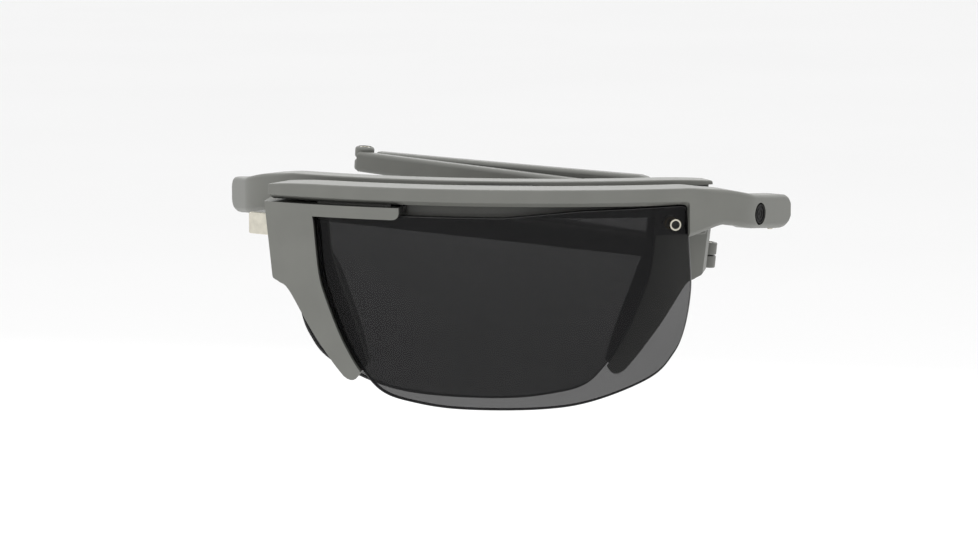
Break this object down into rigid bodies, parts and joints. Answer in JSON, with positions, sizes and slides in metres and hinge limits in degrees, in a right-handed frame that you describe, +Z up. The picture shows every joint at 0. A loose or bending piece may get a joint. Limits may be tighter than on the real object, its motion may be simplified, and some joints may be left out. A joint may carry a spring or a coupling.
{
  "type": "folding sunglasses",
  "caption": "Slide-and-fold wraparound sunglasses with tinted lenses, stowed: two half frames nested on arc rails, each temple folding at two hinges.",
  "frame": {"origin": "middle of the left brow bar's flat top, in the stowed state", "axes": "+X to the left half's temple hinge, +Y from the front to the back, +Z up as worn"},
  "size_m": [0.0998, 0.0559, 0.0391],
  "materials": {
    "bar_plastic": "matte grey moulded nylon",
    "bracket_plastic": "matte grey moulded nylon",
    "temple_plastic": "matte grey moulded nylon",
    "pad_rubber": "soft matte grey rubber",
    "tinted_lens": "polished neutral grey tint",
    "screw_steel": "bright turned steel",
    "insert_brass": "turned brass",
    "tongue_nickel": "satin nickel plate",
    "slide_nylon": "black slippery nylon",
    "badge_black": "dark satin"
  },
  "bodies": {
    "left_half": {"left_brow_bar": "bar_plastic", "left_nose_bracket": "bracket_plastic", "left_nose_pad": "pad_rubber", "left_lens": "tinted_lens", "left_lens_screw": "screw_steel", "left_lens_insert": "insert_brass", "left_hinge_screw": "screw_steel", "left_badge": "badge_black", "latch_tongue": "tongue_nickel"},
    "carriage": {"bridge_carriage": "slide_nylon", "left_slide_shoe": "slide_nylon", "right_slide_shoe": "slide_nylon"},
    "right_half": {"right_brow_bar": "bar_plastic", "right_nose_bracket": "bracket_plastic", "right_nose_pad": "pad_rubber", "right_lens": "tinted_lens", "right_lens_screw": "screw_steel", "right_lens_insert": "insert_brass", "right_hinge_screw": "screw_steel"},
    "left_temple": {"left_temple_front": "temple_plastic", "left_knuckle_screw": "screw_steel"},
    "left_temple_end": {"left_temple_rear": "temple_plastic", "left_temple_grip": "pad_rubber"},
    "right_temple": {"right_temple_front": "temple_plastic", "right_knuckle_screw": "screw_steel"},
    "right_temple_end": {"right_temple_rear": "temple_plastic", "right_temple_grip": "pad_rubber"}
  },
  "joints": [
    {"name": "bridge_slide_left", "type": "hinge", "parent": "left_half", "child": "carriage", "pos_m": [0, 0.0867, 0], "axis": [0, 0, -1], "range_deg": [0, 26]},
    {"name": "bridge_slide_right", "type": "hinge", "parent": "carriage", "child": "right_half", "pos_m": [0, 0.0867, 0], "axis": [0, 0, -1], "range_deg": [0, 26]},
    {"name": "left_temple_hinge", "type": "hinge", "parent": "left_half", "child": "left_temple", "pos_m": [0.04597, 0.02017, -0.0065], "axis": [-0.0599, 0.0286, -0.9978], "range_deg": [0, 93.3]},
    {"name": "left_temple_fold", "type": "hinge", "parent": "left_temple", "child": "left_temple_end", "pos_m": [-0.02886, 0.05071, -0.00113], "axis": [0.0599, -0.0286, 0.9978], "range_deg": [0, 180]},
    {"name": "right_temple_hinge", "type": "hinge", "parent": "right_half", "child": "right_temple", "pos_m": [-0.0473, 0.03354, -0.00615], "axis": [0.0943, 0.0349, 0.9949], "range_deg": [0, 115.6]},
    {"name": "right_temple_fold", "type": "hinge", "parent": "right_temple", "child": "right_temple_end", "pos_m": [0.03468, 0.02564, -0.01364], "axis": [-0.0943, -0.0349, -0.9949], "range_deg": [0, 180]}
  ]
}
